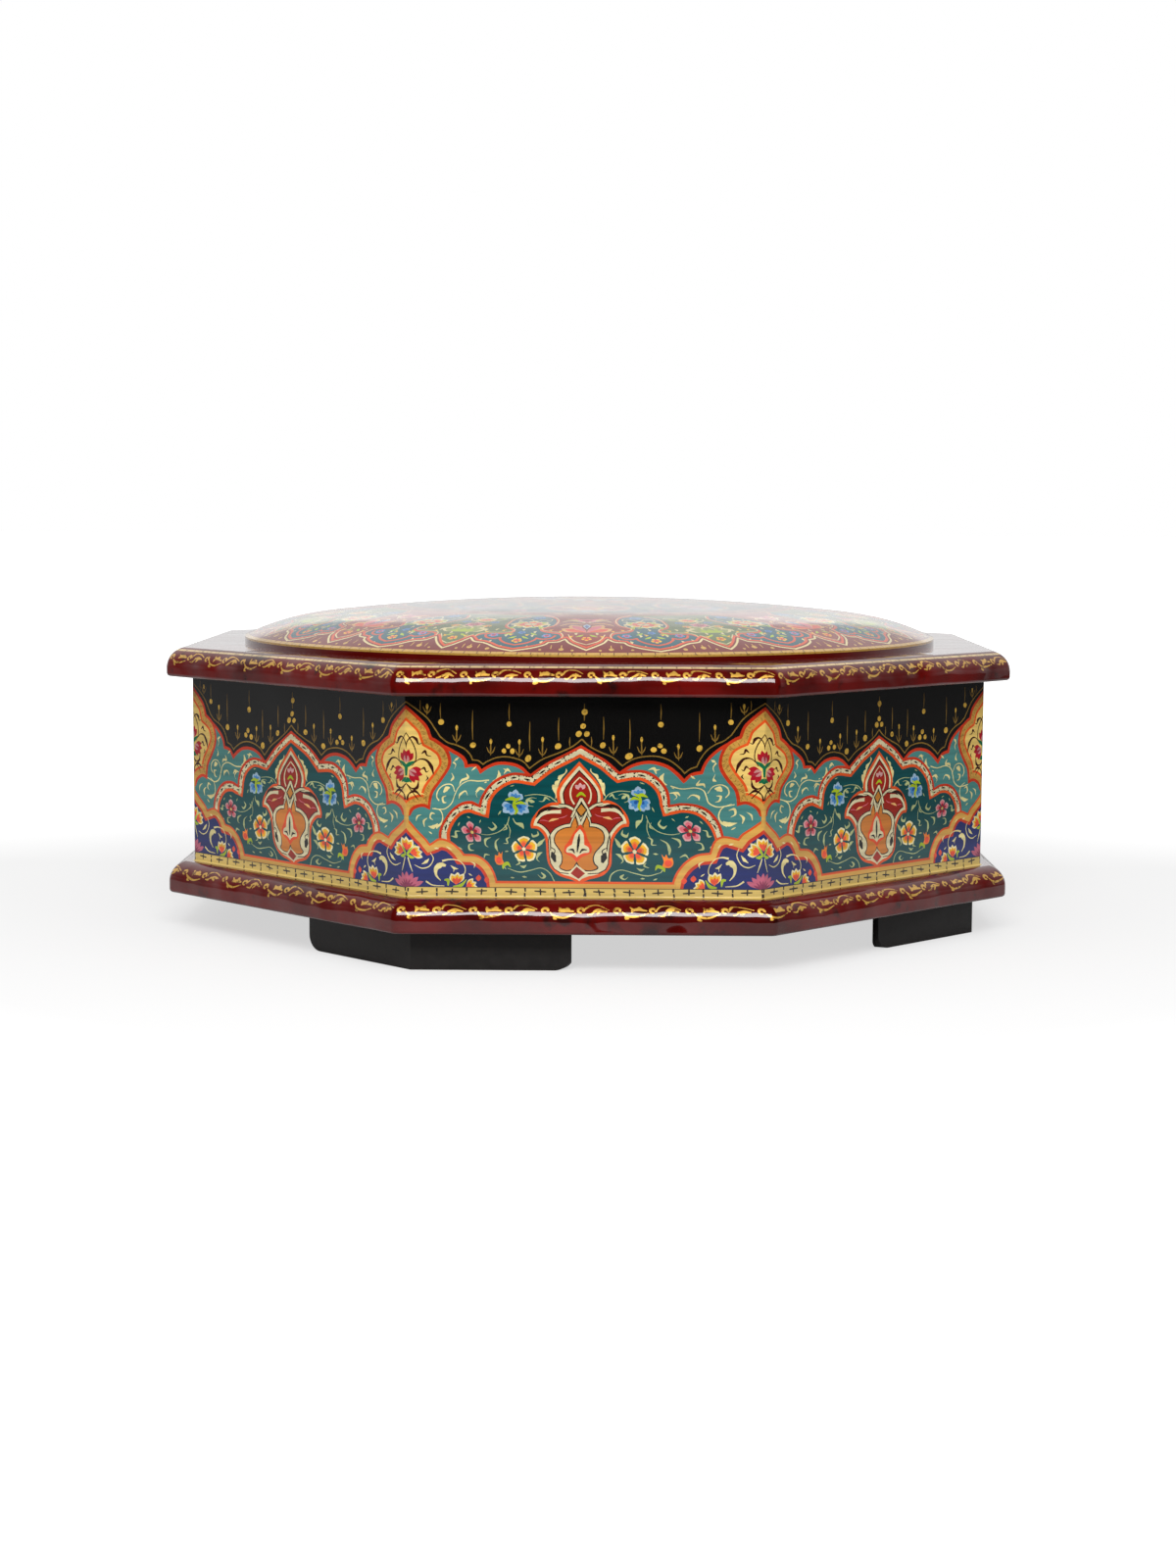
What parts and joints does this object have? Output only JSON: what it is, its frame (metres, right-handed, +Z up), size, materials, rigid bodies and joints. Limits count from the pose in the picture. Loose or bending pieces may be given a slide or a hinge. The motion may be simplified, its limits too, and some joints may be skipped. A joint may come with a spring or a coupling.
{
  "type": "octagonal box",
  "caption": "Eight-sided lacquered papier mache box with a low domed lift-off lid and corner block feet, for keeping small things.",
  "frame": {"origin": "on the surface that the feet stand on, under the middle of the box", "axes": "+Z up, -Y towards the front wall, +X to the right seen from the front"},
  "size_m": [0.282, 0.282, 0.1104],
  "materials": {
    "painted_lacquer": "black lacquered board with gouache and gold flower painting under clear varnish",
    "rim_lacquer": "dark red lacquered board with a gold painted vine, glossy varnish",
    "dome_lacquer": "papier mache shell painted with lobed panels of flowers under glossy varnish",
    "foot_lacquer": "black painted wood, worn satin",
    "lip_lacquer": "black painted wood, satin",
    "lining_felt": "dark red wool felt",
    "steel": "plain bright steel"
  },
  "bodies": {
    "box": {"base_board": "rim_lacquer", "floor_lining": "lining_felt", "wall_front": "painted_lacquer", "wall_front_right": "painted_lacquer", "wall_right": "painted_lacquer", "wall_back_right": "painted_lacquer", "wall_back": "painted_lacquer", "wall_back_left": "painted_lacquer", "wall_left": "painted_lacquer", "wall_front_left": "painted_lacquer", "foot_front_left": "foot_lacquer", "foot_right_front": "foot_lacquer", "foot_back_right": "foot_lacquer", "foot_left_back": "foot_lacquer", "wall_pins": "steel", "foot_screws": "steel"},
    "lid": {"lid_board": "rim_lacquer", "lid_dome": "dome_lacquer", "lip_front": "lip_lacquer", "lip_front_right": "lip_lacquer", "lip_right": "lip_lacquer", "lip_back_right": "lip_lacquer", "lip_back": "lip_lacquer", "lip_back_left": "lip_lacquer", "lip_left": "lip_lacquer", "lip_front_left": "lip_lacquer"}
  },
  "joints": [
    {"name": "lid_lift", "type": "slide", "parent": "box", "child": "lid", "axis": [0, 0, 1], "range_m": [0, 0.1]}
  ]
}
